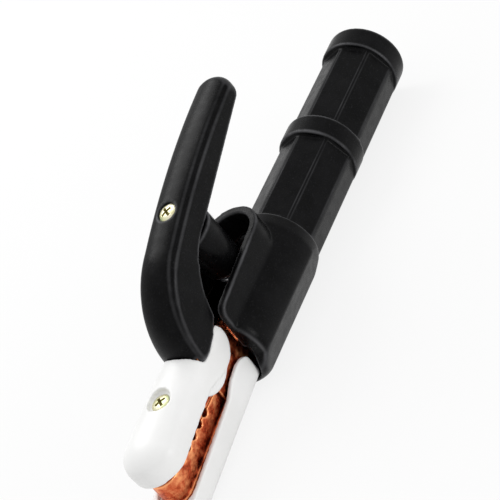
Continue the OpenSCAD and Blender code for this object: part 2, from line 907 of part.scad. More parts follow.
module boss_peg(gap) {
    at_boss() cylinder(h = boss_top + gap, r = boss_peg_r + gap);
}

module lever_cover() {
    color(black) difference() {
        intersection() {
            lever_body();
            translate([px - 140, -30, 0]) cube([140 + lever_front - px, 60, 120]);
        }
        lever_underside(0);
        slab(60) cover_low_edge(0);
        bar_y(px, pz, cavity_w, cavity_r);
        jaw_arm(fit);
        boss_peg(fit);
        lever_screw_place() screw_hole(shank_r, lever_screw_len);
    }
}

module lever_screw() {
    color(zinc) lever_screw_place() cross_screw(shank_r, lever_screw_len);
}

module spring_boss() {
    color(black) difference() {
        union() {
            intersection() {
                at_boss() translate([0, 0, boss_end])
                    cylinder(h = 34, r1 = boss_end_r, r2 = boss_root_r + 0.7);
                lever_underside(fit);
            }
            boss_peg(0);
        }
        at_boss() translate([0, 0, boss_end - 1]) cylinder(h = boss_roof - boss_end + 1, r = boss_bore_r);
    }
}

grip_sleeve();
guard_shield();
lower_jaw();
cable_socket();
cable_screws();
socket_lock_screw();
grip_screw();
guard_screw();
spring_seat();
return_spring();
pivot_pin();
hinge_washers();
lower_insulator();
lower_insulator_screw();
upper_jaw();
pivot_bush();
upper_insulator();
upper_insulator_screw();
lever_cover();
lever_screw();
spring_boss();
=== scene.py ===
"""Looks of a spring-closed electrode holder for stick welding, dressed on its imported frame."""

import logging
import math
from dataclasses import dataclass, field
from enum import Enum
from typing import Dict, List, Optional, Sequence, Tuple, Union

import bmesh
import bpy
from mathutils import Matrix, Vector
from mathutils.kdtree import KDTree


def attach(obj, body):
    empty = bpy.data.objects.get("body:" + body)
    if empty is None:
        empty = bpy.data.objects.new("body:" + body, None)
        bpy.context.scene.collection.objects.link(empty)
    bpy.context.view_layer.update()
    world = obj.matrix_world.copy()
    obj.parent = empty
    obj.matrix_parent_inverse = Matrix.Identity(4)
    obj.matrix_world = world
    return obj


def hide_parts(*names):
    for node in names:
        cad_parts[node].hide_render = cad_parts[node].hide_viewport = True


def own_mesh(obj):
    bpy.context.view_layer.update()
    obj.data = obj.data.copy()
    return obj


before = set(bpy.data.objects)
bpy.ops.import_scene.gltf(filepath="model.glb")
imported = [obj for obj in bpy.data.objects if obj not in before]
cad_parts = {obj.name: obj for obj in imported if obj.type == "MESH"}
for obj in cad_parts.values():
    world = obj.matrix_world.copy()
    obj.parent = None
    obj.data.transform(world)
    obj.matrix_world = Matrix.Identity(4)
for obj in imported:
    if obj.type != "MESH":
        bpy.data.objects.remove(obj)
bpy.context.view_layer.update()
MM = 0.001
# Points of a CAD mesh that lie closer than this, in metres, are one point
MERGE = 2e-6
# Neighbours of a point on a square grid, which the measure of its bend counts
NEIGHBOURS = 4.0
# Vertex or face value that says how sharply the surface bends
EDGE = "edge_bend"
log = logging.getLogger("electrode_holder")

Colour = Tuple[float, float, float]
Triple = Tuple[float, float, float]
Range = Tuple[float, float]
Stops = Sequence[Tuple[float, Colour]]
Socket = bpy.types.NodeSocket

# Range that holds nearly all values of a noise pattern
NOISE_SPAN: Range = (0.3, 0.7)


class Body(Enum):
    """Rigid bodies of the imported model."""

    HOLDER = "holder"
    LEVER = "lever"


class Slot(Enum):
    """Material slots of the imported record."""

    BLACK = "black_moulding"
    WHITE = "white_moulding"
    COPPER = "jaw_copper"
    BRASS = "socket_brass"
    ZINC = "yellow_zinc"
    STEEL = "plain_steel"
    FIBRE = "fibre_board"


class Sum(Enum):
    """Sums on the values of a material."""

    ADD = "ADD"
    SUBTRACT = "SUBTRACT"
    MULTIPLY = "MULTIPLY"
    MULTIPLY_ADD = "MULTIPLY_ADD"


@dataclass(frozen=True)
class Pattern:
    """Noise: repeats per metre, number and strength of finer octaves, stretch along X, Y and Z."""

    scale: float
    detail: float = 4.0
    rough: float = 0.55
    stretch: Optional[Triple] = None


@dataclass(frozen=True)
class Relief:
    """Strength of surface relief, from 0 to 1, and its depth in metres."""

    strength: float
    depth: float


@dataclass(frozen=True)
class Gap:
    """Reading of narrow gaps: reach to a wall in metres, then gain and start of the openness."""

    reach: float
    gain: float
    start: float
    rays: int = 8


class Shader:
    """Node tree of one procedural material, read on Object coordinates."""

    def __init__(self, name: str) -> None:
        """Starts a material with one surface shader.

        Args:
            name: Name of the material.
        """
        self.material = bpy.data.materials.new(name)
        self.material.use_nodes = True
        self.tree = self.material.node_tree
        self.surface = self.tree.nodes["Principled BSDF"]
        self.place = self.tree.nodes.new("ShaderNodeTexCoord").outputs["Object"]

    def set(self, **values: float) -> None:
        """Sets constant values on the surface shader's own sockets."""
        for key, value in values.items():
            self.surface.inputs[key.replace("_", " ")].default_value = value

    def wire(self, value: Socket, socket: str) -> None:
        """Links a value to a socket of the surface shader."""
        self.tree.links.new(value, self.surface.inputs[socket])

    def noise(self, pattern: Pattern) -> Socket:
        """Adds a noise pattern.

        Args:
            pattern: Sizes of the noise.

        Returns:
            The pattern's value socket.
        """
        node = self.tree.nodes.new("ShaderNodeTexNoise")
        node.inputs["Scale"].default_value = pattern.scale
        node.inputs["Detail"].default_value = pattern.detail
        node.inputs["Roughness"].default_value = pattern.rough
        place = self.place
        if pattern.stretch is not None:
            mapping = self.tree.nodes.new("ShaderNodeMapping")
            mapping.inputs["Scale"].default_value = pattern.stretch
            self.tree.links.new(place, mapping.inputs["Vector"])
            place = mapping.outputs["Vector"]
        self.tree.links.new(place, node.inputs["Vector"])
        return node.outputs["Fac"]

    def ramp(self, value: Socket, stops: Stops) -> Socket:
        """Turns a value into a colour.

        Args:
            value: Socket with the value.
            stops: Positions and linear colours, in rising order.

        Returns:
            The colour socket.
        """
        node = self.tree.nodes.new("ShaderNodeValToRGB")
        for end in (0, -1):
            node.color_ramp.elements[end].position = stops[end][0]
            node.color_ramp.elements[end].color = (*stops[end][1], 1.0)
        for position, colour in stops[1:-1]:
            node.color_ramp.elements.new(position).color = (*colour, 1.0)
        self.tree.links.new(value, node.inputs["Fac"])
        return node.outputs["Color"]

    def blend(self, value: Socket, dark: Colour, light: Colour, span: Range = NOISE_SPAN) -> Socket:
        """Turns a value into a colour between two.

        Args:
            value: Socket with the value.
            dark: Colour where the value is low.
            light: Colour where the value is high.
            span: Values at which the two colours are reached.

        Returns:
            The colour socket.
        """
        return self.ramp(value, [(span[0], dark), (span[1], light)])

    def spread(self, value: Socket, result: Range) -> Socket:
        """Maps the middle of a noise value to a range.

        Args:
            value: Socket with the value.
            result: Results where the noise is low and where it is high.

        Returns:
            The mapped value socket.
        """
        node = self.tree.nodes.new("ShaderNodeMapRange")
        node.inputs["From Min"].default_value, node.inputs["From Max"].default_value = NOISE_SPAN
        node.inputs["To Min"].default_value, node.inputs["To Max"].default_value = result
        self.tree.links.new(value, node.inputs["Value"])
        return node.outputs["Result"]

    def edge(self) -> Socket:
        """Reads how sharply the surface bends: above 0 on outer edges, below 0 in inner corners."""
        node = self.tree.nodes.new("ShaderNodeAttribute")
        node.attribute_name = EDGE
        return node.outputs["Fac"]

    def gap(self, gap: Gap) -> Socket:
        """Reads how deep in a narrow gap the place lies.

        Args:
            gap: Reach, gain and start of the reading.

        Returns:
            The share's socket, 0 in the open.
        """
        node = self.tree.nodes.new("ShaderNodeAmbientOcclusion")
        node.samples = gap.rays
        node.inputs["Distance"].default_value = gap.reach
        return self.math(Sum.MULTIPLY_ADD, node.outputs["AO"], gap.gain, gap.start)

    def math(self, kind: Sum, first: Socket, second: Union[float, Socket], third: float = 0.0) -> Socket:
        """Adds a sum on values.

        Args:
            kind: The sum.
            first: First value.
            second: Second value, a number or a socket.
            third: Third value of a three-value sum.

        Returns:
            The result's socket, kept between 0 and 1.
        """
        node = self.tree.nodes.new("ShaderNodeMath")
        node.operation = kind.value
        node.use_clamp = True
        self.tree.links.new(first, node.inputs[0])
        if isinstance(second, float):
            node.inputs[1].default_value = second
        else:
            self.tree.links.new(second, node.inputs[1])
        node.inputs[2].default_value = third
        return node.outputs["Value"]

    def mix(self, share: Socket, base: Socket, over: Colour) -> Socket:
        """Lays a colour over another one.

        Args:
            share: Socket with the upper colour's share.
            base: Socket with the lower colour.
            over: Upper colour.

        Returns:
            The mixed colour's socket.
        """
        node = self.tree.nodes.new("ShaderNodeMix")
        node.data_type = "RGBA"
        sockets = {i.identifier: i for i in node.inputs}
        sockets["B_Color"].default_value = (*over, 1.0)
        self.tree.links.new(share, sockets["Factor_Float"])
        self.tree.links.new(base, sockets["A_Color"])
        return {o.identifier: o for o in node.outputs}["Result_Color"]

    def bump(self, height: Socket, relief: Relief) -> None:
        """Adds surface relief on top of what is there.

        Args:
            height: Socket with the relief's height.
            relief: Strength and depth of the relief.
        """
        node = self.tree.nodes.new("ShaderNodeBump")
        node.inputs["Strength"].default_value = relief.strength
        node.inputs["Distance"].default_value = relief.depth
        self.tree.links.new(height, node.inputs["Height"])
        before = self.surface.inputs["Normal"]
        if before.is_linked:
            self.tree.links.new(before.links[0].from_socket, node.inputs["Normal"])
        self.tree.links.new(node.outputs["Normal"], before)


@dataclass(frozen=True)
class BlackMoulding:
    """Satin black moulded plastic with spark-eroded grain, dust specks and edges painted grey: painted
    highlight along the edges, partly edge wear.
    """

    name: str
    dark: Colour = (0.0014, 0.0014, 0.0016)
    light: Colour = (0.0042, 0.0042, 0.0046)
    cloud: Pattern = Pattern(110.0, 6.0, 0.6)
    cloud_span: Range = (0.35, 0.65)
    speck: Colour = (0.011, 0.011, 0.012)
    dust: Pattern = Pattern(1500.0, 2.0, 0.5)
    dust_share: Range = (-2.6, 1.0)
    dust_cover: float = 0.8
    # Grey on outer edges: painted highlight, partly edge wear
    edge_wear_and_highlight: Colour = (0.190, 0.190, 0.200)
    wear_highlight_gain: float = 1.1
    wear_highlight_start: float = -0.14
    patch: Pattern = Pattern(75.0, 4.0, 0.6)
    patch_share: Range = (0.3, 1.0)
    gloss: Pattern = Pattern(260.0, 6.0)
    rough: Range = (0.22, 0.36)
    grain: Pattern = Pattern(2200.0, 3.0)
    grain_relief: Relief = Relief(0.22, 0.12 * MM)
    wave: Pattern = Pattern(130.0, 3.0)
    wave_relief: Relief = Relief(0.10, 0.6 * MM)
    refraction: float = 1.5
    sheen: float = 0.07

    def material(self) -> bpy.types.Material:
        """Builds the material and returns it."""
        shader = Shader(self.name)
        cloud = shader.blend(shader.noise(self.cloud), self.dark, self.light, self.cloud_span)
        dust = shader.spread(shader.noise(self.dust), self.dust_share)
        dusty = shader.mix(shader.math(Sum.MULTIPLY, dust, self.dust_cover), cloud, self.speck)
        patch = shader.spread(shader.noise(self.patch), self.patch_share)
        # Outer edges and marked lines turn grey: painted highlight, partly edge wear
        outer = shader.math(Sum.MULTIPLY_ADD, shader.edge(), self.wear_highlight_gain, self.wear_highlight_start)
        wear_highlight_share = shader.math(Sum.MULTIPLY, outer, patch)
        shader.wire(shader.mix(wear_highlight_share, dusty, self.edge_wear_and_highlight), "Base Color")
        shader.wire(shader.spread(shader.noise(self.gloss), self.rough), "Roughness")
        shader.bump(shader.noise(self.grain), self.grain_relief)
        shader.bump(shader.noise(self.wave), self.wave_relief)
        shader.set(IOR=self.refraction, Specular_IOR_Level=self.sheen)
        return shader.material


@dataclass(frozen=True)
class WhiteMoulding:
    """Smooth white glass-filled moulding with faint clouding, and painted shade, grey, in its narrow
    gaps.
    """

    name: str
    dark: Colour = (0.84, 0.84, 0.83)
    light: Colour = (0.90, 0.90, 0.895)
    cloud: Pattern = Pattern(45.0, 5.0)
    # Painted shade: grey laid where narrow gaps hold shade
    gap_shade_grey: Colour = (0.48, 0.48, 0.49)
    gap: Gap = Gap(3.5 * MM, -1.0, 0.72)
    gloss: Pattern = Pattern(300.0, 4.0)
    rough: Range = (0.34, 0.46)
    grain: Pattern = Pattern(1500.0, 3.0)
    grain_relief: Relief = Relief(0.05, 0.10 * MM)
    refraction: float = 1.5

    def material(self) -> bpy.types.Material:
        """Builds the material and returns it."""
        shader = Shader(self.name)
        cloud = shader.blend(shader.noise(self.cloud), self.dark, self.light)
        # Painted shade: grey mixed in by the gap reading
        shader.wire(shader.mix(shader.gap(self.gap), cloud, self.gap_shade_grey), "Base Color")
        shader.wire(shader.spread(shader.noise(self.gloss), self.rough), "Roughness")
        shader.bump(shader.noise(self.grain), self.grain_relief)
        shader.set(IOR=self.refraction)
        return shader.material


@dataclass(frozen=True)
class CastCopper:
    """Cast copper with random oxidised tone, painted shade darkening its inner corners and gaps, and
    outer edges brighter as painted highlight, partly wear.
    """

    name: str
    # Darkest tone: random oxidation, and painted shade in inner corners and gaps
    oxide_and_shade: Colour = (0.050, 0.008, 0.004)
    metal: Colour = (0.600, 0.104, 0.038)
    bright: Colour = (0.980, 0.400, 0.170)
    tones: Triple = (0.31, 0.48, 0.67)
    cloud: Pattern = Pattern(210.0, 8.0, 0.68)
    edge_gain: float = 0.30
    # Painted shade: darkening in narrow gaps
    gap: Gap = Gap(2.2 * MM, -0.46, 0.33)
    gloss: Pattern = Pattern(420.0, 5.0)
    rough: Range = (0.24, 0.46)
    sand: Pattern = Pattern(900.0, 6.0, 0.65)
    sand_relief: Relief = Relief(0.55, 0.3 * MM)
    wave: Pattern = Pattern(240.0, 4.0, 0.6)
    wave_relief: Relief = Relief(0.40, 0.8 * MM)

    def material(self) -> bpy.types.Material:
        """Builds the material and returns it."""
        shader = Shader(self.name)
        # Outer edges brighter: painted highlight, partly wear; inner corners and gaps darker: painted
        # shade
        outer = shader.math(Sum.MULTIPLY, shader.edge(), self.edge_gain)
        inner = shader.math(Sum.MULTIPLY, shader.edge(), -self.edge_gain)
        wear_and_highlight = shader.math(Sum.ADD, shader.noise(self.cloud), outer)
        tone = shader.math(Sum.SUBTRACT, shader.math(Sum.SUBTRACT, wear_and_highlight, inner), shader.gap(self.gap))
        stops = list(zip(self.tones, (self.oxide_and_shade, self.metal, self.bright)))
        shader.wire(shader.ramp(tone, stops), "Base Color")
        shader.wire(shader.spread(shader.noise(self.gloss), self.rough), "Roughness")
        shader.bump(shader.noise(self.sand), self.sand_relief)
        shader.bump(shader.noise(self.wave), self.wave_relief)
        shader.set(Metallic=1.0)
        return shader.material


@dataclass(frozen=True)
class PlatedSteel:
    """Steel with a yellow zinc plating that shimmers green and pink."""

    name: str
    shimmer: Pattern = Pattern(240.0, 2.0, 0.4)
    green: Tuple[float, Colour] = (0.30, (0.52, 0.61, 0.34))
    gold: Tuple[float, Colour] = (0.45, (0.73, 0.68, 0.40))
    straw: Tuple[float, Colour] = (0.58, (0.80, 0.78, 0.56))
    pink: Tuple[float, Colour] = (0.72, (0.75, 0.56, 0.50))
    gloss: Pattern = Pattern(900.0, 3.0)
    rough: Range = (0.24, 0.36)
    grain: Pattern = Pattern(2200.0, 3.0)
    grain_relief: Relief = Relief(0.12, 0.08 * MM)

    def material(self) -> bpy.types.Material:
        """Builds the material and returns it."""
        shader = Shader(self.name)
        stops = [self.green, self.gold, self.straw, self.pink]
        shader.wire(shader.ramp(shader.noise(self.shimmer), stops), "Base Color")
        shader.wire(shader.spread(shader.noise(self.gloss), self.rough), "Roughness")
        shader.bump(shader.noise(self.grain), self.grain_relief)
        shader.set(Metallic=1.0)
        return shader.material


@dataclass(frozen=True)
class Grained:
    """A finish whose colour, gloss and relief all follow one pattern."""

    name: str
    pattern: Pattern
    dark: Colour
    light: Colour
    rough: Range
    relief: Relief
    metallic: float = 0.0

    def material(self) -> bpy.types.Material:
        """Builds the material and returns it."""
        shader = Shader(self.name)
        grain = shader.noise(self.pattern)
        shader.wire(shader.blend(grain, self.dark, self.light), "Base Color")
        shader.wire(shader.spread(grain, self.rough), "Roughness")
        shader.bump(grain, self.relief)
        shader.set(Metallic=self.metallic)
        return shader.material


@dataclass(frozen=True)
class TurnedBrass(Grained):
    """Turned brass with fine rings along X."""

    pattern: Pattern = Pattern(160.0, 5.0, 0.6, (40.0, 1.0, 1.0))
    dark: Colour = (0.50, 0.34, 0.12)
    light: Colour = (0.70, 0.52, 0.24)
    rough: Range = (0.22, 0.42)
    relief: Relief = Relief(0.15, 0.06 * MM)
    metallic: float = 1.0


@dataclass(frozen=True)
class TurnedSteel(Grained):
    """Plain steel with faint lines across Z."""

    pattern: Pattern = Pattern(160.0, 5.0, 0.6, (1.0, 1.0, 6.0))
    dark: Colour = (0.40, 0.41, 0.42)
    light: Colour = (0.60, 0.61, 0.63)
    rough: Range = (0.22, 0.42)
    relief: Relief = Relief(0.15, 0.06 * MM)
    metallic: float = 1.0


@dataclass(frozen=True)
class ScrewRecess(Grained):
    """Inside of a cross recess, dull and olive: painted shade of the deep recess."""

    pattern: Pattern = Pattern(900.0, 4.0)
    dark: Colour = (0.220, 0.180, 0.050)
    light: Colour = (0.420, 0.370, 0.130)
    rough: Range = (0.50, 0.75)
    relief: Relief = Relief(0.2, 0.1 * MM)
    metallic: float = 0.1


@dataclass(frozen=True)
class HardFibre(Grained):
    """Red-brown hard fibre board with short pressed fibres."""

    pattern: Pattern = Pattern(700.0, 6.0, 0.7, (1.0, 4.0, 6.0))
    dark: Colour = (0.14, 0.045, 0.025)
    light: Colour = (0.28, 0.11, 0.06)
    rough: Range = (0.55, 0.75)
    relief: Relief = Relief(0.3, 0.15 * MM)


class Finishes:
    """The materials of the holder, one for each slot."""

    def __init__(self) -> None:
        """Builds every material once."""
        self.by_slot: Dict[Slot, bpy.types.Material] = {
            Slot.BLACK: BlackMoulding("black_moulding_satin").material(),
            Slot.WHITE: WhiteMoulding("white_moulding_smooth").material(),
            Slot.COPPER: CastCopper("copper_casting").material(),
            Slot.BRASS: TurnedBrass("brass_turned").material(),
            Slot.ZINC: PlatedSteel("yellow_zinc_plating").material(),
            Slot.STEEL: TurnedSteel("steel_plain").material(),
            Slot.FIBRE: HardFibre("fibre_board_pressed").material(),
        }
        # Painted shade for the faces inside screw recesses
        self.recess = ScrewRecess("screw_recess_painted_shade").material()

    def of(self, slot: Slot) -> bpy.types.Material:
        """Returns the material of a slot."""
        return self.by_slot[slot]


def leaning(lean: float) -> Tuple[Vector, Vector]:
    """Finds the directions of a round piece that leans from upright in the lever's plane.

    Args:
        lean: Lean towards the jaws in degrees.

    Returns:
        The direction along the piece and the one across it.
    """
    turn = math.radians(lean)
    along = Vector((math.sin(turn), 0.0, math.cos(turn)))
    across = Vector((math.cos(turn), 0.0, -math.sin(turn)))
    return along, across


@dataclass
class Skin:
    """A piece of the scene that stands in for a CAD piece."""

    node: str
    body: Body
    slot: Slot

    def copy(self) -> bmesh.types.BMesh:
        """Returns a merged copy of the CAD piece's mesh."""
        shape = bmesh.new()
        shape.from_mesh(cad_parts[self.node].data)
        bmesh.ops.remove_doubles(shape, verts=shape.verts, dist=MERGE)
        return shape

    def shape(self) -> bmesh.types.BMesh:
        """Returns the piece's shape, here the plain copy."""
        return self.copy()

    def paint(self, mesh: bpy.types.Mesh, finishes: Finishes) -> None:
        """Gives the piece its material."""
        mesh.materials.append(finishes.of(self.slot))

    def shade(self, mesh: bpy.types.Mesh) -> None:
        """Shades the whole piece smooth."""
        for face in mesh.polygons:
            face.use_smooth = True

    def build(self, finishes: Finishes) -> bpy.types.Object:
        """Makes the piece, dresses it and puts it in the node's place.

        Args:
            finishes: Materials of the holder.

        Returns:
            The finished piece.
        """
        mesh = bpy.data.meshes.new(self.node + "_skin")
        shape = self.shape()
        shape.to_mesh(mesh)
        shape.free()
        self.paint(mesh, finishes)
        self.shade(mesh)
        piece = bpy.data.objects.new(self.node + "_skin", mesh)
        bpy.context.scene.collection.objects.link(piece)
        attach(piece, self.body.value)
        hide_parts(self.node)
        log.info("%s: %d faces", piece.name, len(mesh.polygons))
        return piece


@dataclass
class Moulded(Skin):
    """A moulding or casting: an even grid over the piece, smoothed until its edges are round.

    grid is the grid's spacing, passes and pull the number and strength of the smoothing passes, and
    sharpest the bend, per millimetre, that counts as a full edge. line is the value laid along the CAD
    piece's own sharp edges, which the black moulding turns into painted highlight lines, line_reach
    how far it fades, and line_corner the least angle in degrees.
    """

    grid: float = 0.45 * MM
    passes: int = 6
    pull: float = 0.5
    sharpest: float = 1.1
    line: float = 0.0
    line_reach: float = 0.4 * MM
    line_corner: float = 12.0

    def shape(self) -> bmesh.types.BMesh:
        """Lays the grid, rounds the edges and marks where the surface bends.

        Returns:
            The rounded shape.
        """
        copy = self.copy()
        lines = self.edge_points(copy)
        mesh = bpy.data.meshes.new("block")
        copy.to_mesh(mesh)
        copy.free()
        block = bpy.data.objects.new("block", mesh)
        bpy.context.scene.collection.objects.link(block)
        even = block.modifiers.new("even_grid", "REMESH")
        even.mode = "VOXEL"
        even.voxel_size = self.grid
        even.adaptivity = 0.0
        shape = bmesh.new()
        shape.from_object(block, bpy.context.evaluated_depsgraph_get())
        bpy.data.objects.remove(block)
        bpy.data.meshes.remove(mesh)
        for _ in range(self.passes):
            bmesh.ops.smooth_vert(shape, verts=shape.verts, factor=self.pull,
                                  use_axis_x=True, use_axis_y=True, use_axis_z=True)
        self.mark(shape, lines)
        return shape

    def edge_points(self, copy: bmesh.types.BMesh) -> KDTree:
        """Sets points along the piece's sharp outer edges, if it has lines there.

        Args:
            copy: Merged copy of the CAD piece.

        Returns:
            The points, ready to be searched.
        """
        points: List[Vector] = []
        least = math.radians(self.line_corner)
        for edge in copy.edges if self.line else ():
            if len(edge.link_faces) == 2 and edge.calc_face_angle_signed(0.0) > least:
                start, end = (point.co for point in edge.verts)
                steps = 1 + int(edge.calc_length() / self.grid)
                points += [start.lerp(end, step / steps) for step in range(steps + 1)]
        tree = KDTree(len(points))
        for number, point in enumerate(points):
            tree.insert(point, number)
        tree.balance()
        return tree

    def bend(self, point: bmesh.types.BMVert) -> float:
        """Measures the bend at a point of the grid, 1 on the sharpest outer edge.

        Args:
            point: Point of the grid.

        Returns:
            The bend, from the point's lift over the middle of its neighbours on a square grid.
        """
        around = [edge.other_vert(point).co for edge in point.link_edges]
        middle = sum(around, Vector()) / len(around)
        lift = (point.co - middle).dot(point.normal)
        return lift * NEIGHBOURS / self.grid ** 2 / (self.sharpest / MM)

    def mark(self, shape: bmesh.types.BMesh, lines: KDTree) -> None:
        """Stores the evened bend at each point, with the lines along the edges laid over it.

        Args:
            shape: Shape to mark.
            lines: Points along the edges that get a line of their own.
        """
        shape.normal_update()
        shape.verts.index_update()
        layer = shape.verts.layers.float.new(EDGE)
        bends = [self.bend(point) for point in shape.verts]
        for point in shape.verts:
            near = [bends[edge.other_vert(point).index] for edge in point.link_edges]
            even = (bends[point.index] + sum(near)) / (1 + len(near))
            if self.line:
                gap = lines.find(point.co)[2]
                even = max(even, self.line * (1.0 - gap / self.line_reach))
            point[layer] = max(-1.0, min(1.0, even))


@dataclass
class Bevelled(Skin):
    """A piece with a small bevel along each sharp edge.

    Angles are in degrees: faces within flat of each other are joined, edges above corner get the
    bevel, and shading breaks above crease.
    """

    edge: float = 0.4 * MM
    flat: float = 0.3
    corner: float = 25.0
    segments: int = 3
    crease: float = 40.0

    def shape(self) -> bmesh.types.BMesh:
        """Bevels the sharp edges and marks the bevels.

        Returns:
            The bevelled shape.
        """
        shape = self.copy()
        bmesh.ops.dissolve_limit(shape, angle_limit=math.radians(self.flat), verts=shape.verts,
                                 edges=shape.edges)
        layer = shape.faces.layers.float.new(EDGE)
        sharp = [e for e in shape.edges if len(e.link_faces) == 2
                 and e.calc_face_angle(0.0) > math.radians(self.corner)]
        made = bmesh.ops.bevel(shape, geom=sharp, offset=self.edge, offset_type="OFFSET",
                               segments=self.segments, profile=0.5, affect="EDGES",
                               clamp_overlap=True, material=-1)
        for face in made["faces"]:
            face[layer] = 1.0
        return shape

    def shade(self, mesh: bpy.types.Mesh) -> None:
        """Shades the piece smooth up to its creases."""
        super().shade(mesh)
        mesh.set_sharp_from_angle(angle=math.radians(self.crease))


@dataclass
class Screw(Bevelled):
    """A cross-recess screw with softened edges and painted shade in its recess.

    lean is the direction of its head. A face belongs to the recess within recess_reach of the axis
    and inside recess_depth, where it is a wall, facing up less than wall_facing, or below recess_floor.
    """

    edge: float = 0.12 * MM
    segments: int = 2
    lean: float = 0.0
    recess_reach: float = 2.6 * MM
    recess_depth: Range = (0.35 * MM, 2.1 * MM)
    recess_floor: float = 1.2 * MM
    wall_facing: float = 0.7

    def paint(self, mesh: bpy.types.Mesh, finishes: Finishes) -> None:
        """Gives the screw its plating and the faces inside its recess their painted shade.

        Args:
            mesh: Mesh of the screw.
            finishes: Materials of the holder.
        """
        mesh.materials.append(finishes.of(self.slot))
        mesh.materials.append(finishes.recess)
        axis, side = leaning(self.lean)
        across = [v.co.dot(side) for v in mesh.vertices]
        middle = (min(across) + max(across)) / 2.0
        top = max(v.co.dot(axis) for v in mesh.vertices)
        for face in mesh.polygons:
            reach = math.hypot(face.center.dot(side) - middle, face.center.y)
            depth = top - face.center.dot(axis)
            wall = face.normal.dot(axis) < self.wall_facing
            inside = self.recess_depth[0] < depth < self.recess_depth[1]
            if reach < self.recess_reach and inside and (wall or depth > self.recess_floor):
                face.material_index = 1


@dataclass
class CoilSpring(Skin):
    """A spring of round wire between its seat and the boss.

    coil is the mean diameter, wire the wire's, steps the rings in a curl and sides those of a ring.
    """

    joint: str = "lever_hinge"
    lean: float = 10.0
    coil: float = 11.0 * MM
    wire: float = 1.6 * MM
    curls: int = 8
    steps: int = 24
    sides: int = 12

    def ends(self) -> Tuple[Vector, Vector]:
        """Finds the middle of the spring's foot and of its head on the CAD piece."""
        axis, side = leaning(self.lean)
        points = [v.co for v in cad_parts[self.node].data.vertices]
        along = [point.dot(axis) for point in points]
        across = [point.dot(side) for point in points]
        middle = side * (min(across) + max(across)) / 2.0
        return middle + axis * min(along), middle + axis * max(along)

    def shape(self) -> bmesh.types.BMesh:
        """Winds the wire from foot to head.

        Returns:
            The wound spring.
        """
        foot, head = self.ends()
        count = self.curls * self.steps
        rise = ((head - foot).length - self.wire) / count
        middle = (0.0, 0.0, 0.0)
        shape = bmesh.new()
        bmesh.ops.create_circle(shape, segments=self.sides, radius=self.wire / 2.0)
        upright = Matrix.Rotation(math.pi / 2.0, 3, "X")
        bmesh.ops.rotate(shape, verts=shape.verts, cent=middle, matrix=upright)
        bmesh.ops.translate(shape, verts=shape.verts, vec=(self.coil / 2.0, 0.0, self.wire / 2.0))
        bmesh.ops.spin(shape, geom=shape.verts[:] + shape.edges[:], cent=middle, axis=(0.0, 0.0, 1.0),
                       dvec=(0.0, 0.0, rise), angle=math.tau * self.curls, steps=count)
        bmesh.ops.holes_fill(shape, edges=[e for e in shape.edges if e.is_boundary], sides=self.sides)
        bmesh.ops.recalc_face_normals(shape, faces=shape.faces)
        place = Matrix.Translation(foot) @ Matrix.Rotation(math.radians(self.lean), 4, "Y")
        bmesh.ops.transform(shape, matrix=place, verts=shape.verts)
        return shape

    def build(self, finishes: Finishes) -> bpy.types.Object:
        """Makes the spring and gives the piece a mesh of its own.

        Args:
            finishes: Materials of the holder.

        Returns:
            The finished piece.
        """
        piece = super().build(finishes)
        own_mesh(piece)
        return piece


@dataclass
class Half:
    """One rigid half of the holder: pieces with a skin, and pieces that keep their CAD shape."""

    skins: List[Skin] = field(default_factory=list)
    plain: Dict[str, Slot] = field(default_factory=dict)

    def dress(self, finishes: Finishes) -> None:
        """Gives the pieces that keep their CAD shape their materials.

        Args:
            finishes: Materials of the holder.
        """
        for name, slot in self.plain.items():
            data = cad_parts[name].data
            data.materials.clear()
            data.materials.append(finishes.of(slot))
            log.info("%s: %s", name, slot.value)

    def build(self, finishes: Finishes) -> None:
        """Builds and dresses the half.

        Args:
            finishes: Materials of the holder.
        """
        for skin in self.skins:
            skin.build(finishes)
        self.dress(finishes)


@dataclass
class FixedHalf(Half):
    """Grip, guard, fixed jaw and what they hold."""

    skins: List[Skin] = field(default_factory=lambda: [
        # The grip's lines become painted highlight lines along its lands
        Moulded("grip_sleeve", Body.HOLDER, Slot.BLACK, grid=0.54 * MM, passes=3, line=0.5),
        Moulded("guard_shield", Body.HOLDER, Slot.BLACK, passes=8),
        Moulded("lower_jaw", Body.HOLDER, Slot.COPPER, grid=0.35 * MM, passes=4),
        Moulded("lower_insulator", Body.HOLDER, Slot.WHITE, grid=0.4 * MM, passes=10),
        Screw("grip_screw", Body.HOLDER, Slot.ZINC, lean=180.0),
        Screw("guard_screw", Body.HOLDER, Slot.ZINC, lean=180.0),
        Screw("lower_insulator_screw", Body.HOLDER, Slot.ZINC, lean=184.5),
        CoilSpring("return_spring", Body.HOLDER, Slot.STEEL),
    ])
    plain: Dict[str, Slot] = field(default_factory=lambda: {
        "cable_socket": Slot.BRASS, "cable_screws": Slot.STEEL, "socket_lock_screw": Slot.STEEL,
        "spring_seat": Slot.FIBRE, "pivot_pin": Slot.STEEL, "hinge_washers": Slot.STEEL,
    })


@dataclass
class MovingHalf(Half):
    """Lever, spring boss, moving jaw and its insulator."""

    skins: List[Skin] = field(default_factory=lambda: [
        Moulded("lever_cover", Body.LEVER, Slot.BLACK, passes=9, sharpest=0.8),
        Moulded("upper_insulator", Body.LEVER, Slot.WHITE, grid=0.4 * MM, passes=5),
        Moulded("upper_jaw", Body.LEVER, Slot.COPPER, grid=0.35 * MM, passes=4),
        Moulded("spring_boss", Body.LEVER, Slot.BLACK, grid=0.4 * MM, passes=8),
        Screw("upper_insulator_screw", Body.LEVER, Slot.ZINC, lean=4.35),
        Screw("lever_screw", Body.LEVER, Slot.ZINC, lean=15.2),
    ])
    plain: Dict[str, Slot] = field(default_factory=lambda: {"pivot_bush": Slot.BRASS})


